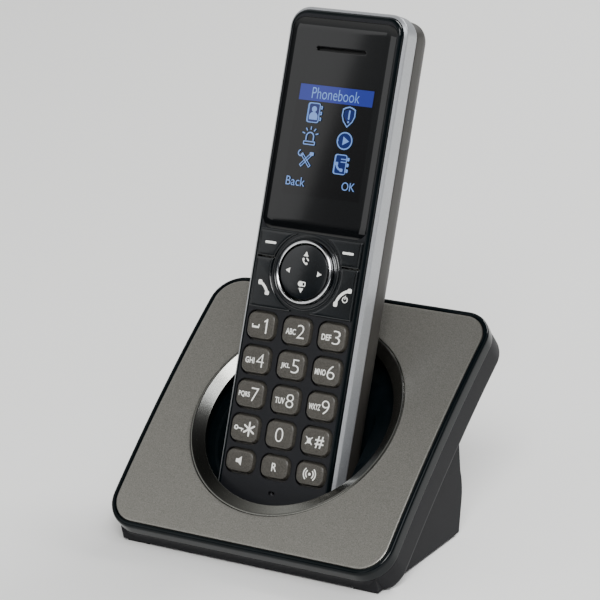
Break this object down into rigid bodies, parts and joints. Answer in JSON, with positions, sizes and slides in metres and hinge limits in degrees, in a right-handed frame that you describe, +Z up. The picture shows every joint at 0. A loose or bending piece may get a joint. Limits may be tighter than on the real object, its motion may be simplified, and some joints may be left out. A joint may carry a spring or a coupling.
{
  "type": "cordless phone with base",
  "caption": "Cordless phone handset with display, navigation key and dial pad, leaning in a sloping charging base with a round cradle.",
  "frame": {"origin": "on the table, under the middle of the whole phone's box", "axes": "+Z up, -Y is the front of the base, +X is the user's right"},
  "size_m": [0.114, 0.1062, 0.1764],
  "materials": {
    "plate_paint": "satin metallic paint",
    "gloss_black": "polished",
    "dark_grey_case": "fine texture",
    "dark_chrome_trim": "dark plated",
    "bright_chrome": "polished",
    "circuit_board": "solder mask",
    "tinned_steel": "tinned",
    "copper_strip": "bright",
    "socket_black": "moulded",
    "contact_gold": "plated",
    "screw_steel": "zinc plated",
    "foot_rubber": "matte",
    "handset_face": "matte",
    "silver_band": "satin plated",
    "handset_back": "fine texture",
    "lens_acrylic": "polished",
    "display_panel": "lit display",
    "white_holder": "moulded",
    "speaker_part": "moulded",
    "dust_gauze": "woven",
    "silicone_sheet": "moulded",
    "battery_jacket": "shrink sleeve",
    "key_grey": "fine speckle"
  },
  "bodies": {
    "base": {"base_top_plate": "plate_paint", "base_rim_housing": "gloss_black", "base_lower_housing": "dark_grey_case", "cradle_trim_ring": "dark_chrome_trim", "cradle_well": "gloss_black", "base_circuit_board": "circuit_board", "base_radio_shield": "tinned_steel", "base_antenna": "copper_strip", "line_jack": "socket_black", "dc_power_jack": "socket_black", "page_switch": "tinned_steel", "charge_contact_holder": "socket_black", "base_screws": "screw_steel", "rubber_feet": "foot_rubber"},
    "handset": {"handset_front_shell": "handset_face", "handset_side_band": "silver_band", "handset_rear_shell": "handset_back", "display_lens": "lens_acrylic", "lcd_module": "display_panel", "lcd_frame": "white_holder", "earpiece_speaker": "speaker_part", "earpiece_mesh": "dust_gauze", "keypad_membrane": "silicone_sheet", "dome_sheet": "tinned_steel", "handset_circuit_board": "circuit_board", "handset_radio_shield": "tinned_steel", "handset_antenna": "copper_strip", "microphone": "speaker_part", "loudspeaker": "speaker_part", "battery_cells": "battery_jacket", "battery_contacts": "tinned_steel", "handset_charge_pads": "contact_gold", "handset_screws": "screw_steel", "nav_ring": "bright_chrome"},
    "battery_door": {"battery_door": "handset_back"},
    "nav_pivot": {"nav_pivot": "socket_black"},
    "nav_pad": {"nav_pad": "gloss_black"},
    "page_button": {"page_button": "dark_grey_case"},
    "charge_contact_left": {"charge_contact_left": "contact_gold"},
    "charge_contact_right": {"charge_contact_right": "contact_gold"},
    "soft_key_left": {"soft_key_left": "gloss_black"},
    "soft_key_right": {"soft_key_right": "gloss_black"},
    "talk_key": {"talk_key": "gloss_black"},
    "off_key": {"off_key": "gloss_black"},
    "key_1": {"key_1": "key_grey"},
    "key_2": {"key_2": "key_grey"},
    "key_3": {"key_3": "key_grey"},
    "key_4": {"key_4": "key_grey"},
    "key_5": {"key_5": "key_grey"},
    "key_6": {"key_6": "key_grey"},
    "key_7": {"key_7": "key_grey"},
    "key_8": {"key_8": "key_grey"},
    "key_9": {"key_9": "key_grey"},
    "key_star": {"key_star": "key_grey"},
    "key_0": {"key_0": "key_grey"},
    "key_hash": {"key_hash": "key_grey"},
    "key_speaker": {"key_speaker": "key_grey"},
    "key_recall": {"key_recall": "key_grey"},
    "key_intercom": {"key_intercom": "key_grey"}
  },
  "joints": [
    {"name": "handset_lift", "type": "slide", "parent": "base", "child": "handset", "axis": [0, 0.3843, 0.9232], "range_m": [0, 0.12]},
    {"name": "battery_door_slide", "type": "slide", "parent": "handset", "child": "battery_door", "axis": [0, -0.3843, -0.9232], "range_m": [0, 0.006]},
    {"name": "nav_up_down", "type": "hinge", "parent": "handset", "child": "nav_pivot", "pos_m": [0, 0.00251, 0.09094], "axis": [1, 0, 0], "range_deg": [-3, 3], "stiffness_Nm_per_rad": 0.06},
    {"name": "nav_left_right", "type": "hinge", "parent": "nav_pivot", "child": "nav_pad", "pos_m": [0, 0.00251, 0.09094], "axis": [0, 0.3843, 0.9232], "range_deg": [-3, 3], "stiffness_Nm_per_rad": 0.06},
    {"name": "page_button_press", "type": "slide", "parent": "base", "child": "page_button", "axis": [0, -1, 0], "range_m": [0, 0.0006], "stiffness_N_per_m": 600, "springref_m": -0.0005},
    {"name": "charge_contact_left_press", "type": "slide", "parent": "base", "child": "charge_contact_left", "axis": [0, -0.3843, -0.9232], "range_m": [0, 0.0012], "stiffness_N_per_m": 300, "springref_m": -0.0008},
    {"name": "charge_contact_right_press", "type": "slide", "parent": "base", "child": "charge_contact_right", "axis": [0, -0.3843, -0.9232], "range_m": [0, 0.0012], "stiffness_N_per_m": 300, "springref_m": -0.0008},
    {"name": "soft_key_left_press", "type": "slide", "parent": "handset", "child": "soft_key_left", "axis": [0, 0.9232, -0.3843], "range_m": [0, 0.0008], "stiffness_N_per_m": 500, "springref_m": -0.0005},
    {"name": "soft_key_right_press", "type": "slide", "parent": "handset", "child": "soft_key_right", "axis": [0, 0.9232, -0.3843], "range_m": [0, 0.0008], "stiffness_N_per_m": 500, "springref_m": -0.0005},
    {"name": "talk_key_press", "type": "slide", "parent": "handset", "child": "talk_key", "axis": [0, 0.9232, -0.3843], "range_m": [0, 0.0008], "stiffness_N_per_m": 500, "springref_m": -0.0005},
    {"name": "off_key_press", "type": "slide", "parent": "handset", "child": "off_key", "axis": [0, 0.9232, -0.3843], "range_m": [0, 0.0008], "stiffness_N_per_m": 500, "springref_m": -0.0005},
    {"name": "key_1_press", "type": "slide", "parent": "handset", "child": "key_1", "axis": [0, 0.9232, -0.3843], "range_m": [0, 0.0008], "stiffness_N_per_m": 500, "springref_m": -0.0005},
    {"name": "key_2_press", "type": "slide", "parent": "handset", "child": "key_2", "axis": [0, 0.9232, -0.3843], "range_m": [0, 0.0008], "stiffness_N_per_m": 500, "springref_m": -0.0005},
    {"name": "key_3_press", "type": "slide", "parent": "handset", "child": "key_3", "axis": [0, 0.9232, -0.3843], "range_m": [0, 0.0008], "stiffness_N_per_m": 500, "springref_m": -0.0005},
    {"name": "key_4_press", "type": "slide", "parent": "handset", "child": "key_4", "axis": [0, 0.9232, -0.3843], "range_m": [0, 0.0008], "stiffness_N_per_m": 500, "springref_m": -0.0005},
    {"name": "key_5_press", "type": "slide", "parent": "handset", "child": "key_5", "axis": [0, 0.9232, -0.3843], "range_m": [0, 0.0008], "stiffness_N_per_m": 500, "springref_m": -0.0005},
    {"name": "key_6_press", "type": "slide", "parent": "handset", "child": "key_6", "axis": [0, 0.9232, -0.3843], "range_m": [0, 0.0008], "stiffness_N_per_m": 500, "springref_m": -0.0005},
    {"name": "key_7_press", "type": "slide", "parent": "handset", "child": "key_7", "axis": [0, 0.9232, -0.3843], "range_m": [0, 0.0008], "stiffness_N_per_m": 500, "springref_m": -0.0005},
    {"name": "key_8_press", "type": "slide", "parent": "handset", "child": "key_8", "axis": [0, 0.9232, -0.3843], "range_m": [0, 0.0008], "stiffness_N_per_m": 500, "springref_m": -0.0005},
    {"name": "key_9_press", "type": "slide", "parent": "handset", "child": "key_9", "axis": [0, 0.9232, -0.3843], "range_m": [0, 0.0008], "stiffness_N_per_m": 500, "springref_m": -0.0005},
    {"name": "key_star_press", "type": "slide", "parent": "handset", "child": "key_star", "axis": [0, 0.9232, -0.3843], "range_m": [0, 0.0008], "stiffness_N_per_m": 500, "springref_m": -0.0005},
    {"name": "key_0_press", "type": "slide", "parent": "handset", "child": "key_0", "axis": [0, 0.9232, -0.3843], "range_m": [0, 0.0008], "stiffness_N_per_m": 500, "springref_m": -0.0005},
    {"name": "key_hash_press", "type": "slide", "parent": "handset", "child": "key_hash", "axis": [0, 0.9232, -0.3843], "range_m": [0, 0.0008], "stiffness_N_per_m": 500, "springref_m": -0.0005},
    {"name": "key_speaker_press", "type": "slide", "parent": "handset", "child": "key_speaker", "axis": [0, 0.9232, -0.3843], "range_m": [0, 0.0008], "stiffness_N_per_m": 500, "springref_m": -0.0005},
    {"name": "key_recall_press", "type": "slide", "parent": "handset", "child": "key_recall", "axis": [0, 0.9232, -0.3843], "range_m": [0, 0.0008], "stiffness_N_per_m": 500, "springref_m": -0.0005},
    {"name": "key_intercom_press", "type": "slide", "parent": "handset", "child": "key_intercom", "axis": [0, 0.9232, -0.3843], "range_m": [0, 0.0008], "stiffness_N_per_m": 500, "springref_m": -0.0005}
  ]
}
